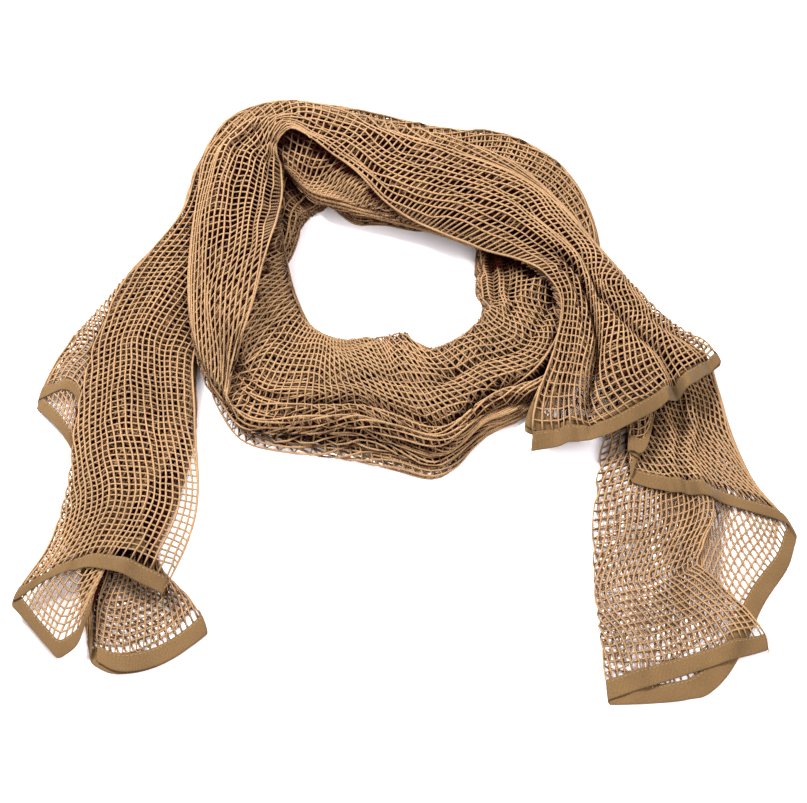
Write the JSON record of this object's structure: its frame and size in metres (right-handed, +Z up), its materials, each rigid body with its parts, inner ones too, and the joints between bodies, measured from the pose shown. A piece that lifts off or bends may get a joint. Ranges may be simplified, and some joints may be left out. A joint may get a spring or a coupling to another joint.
{
  "type": "camouflage net scarf",
  "caption": "Camouflage net scarf: one panel of tan open netting gathered lengthwise into pleats, lying in one and a half turns round a neck opening, with both taped ends free.",
  "frame": {"origin": "on the surface the scarf lies on, below the middle of its box", "axes": "+Z up from the surface, +Y from the tails towards the far side of the turns, +X from the left tail towards the right tail"},
  "size_m": [0.6122, 0.5281, 0.0593],
  "materials": {
    "tan_net": "matte",
    "olive_tape": "matte"
  },
  "bodies": {
    "root": {"net": "tan_net", "binding_left": "olive_tape", "binding_right": "olive_tape"}
  },
  "joints": []
}
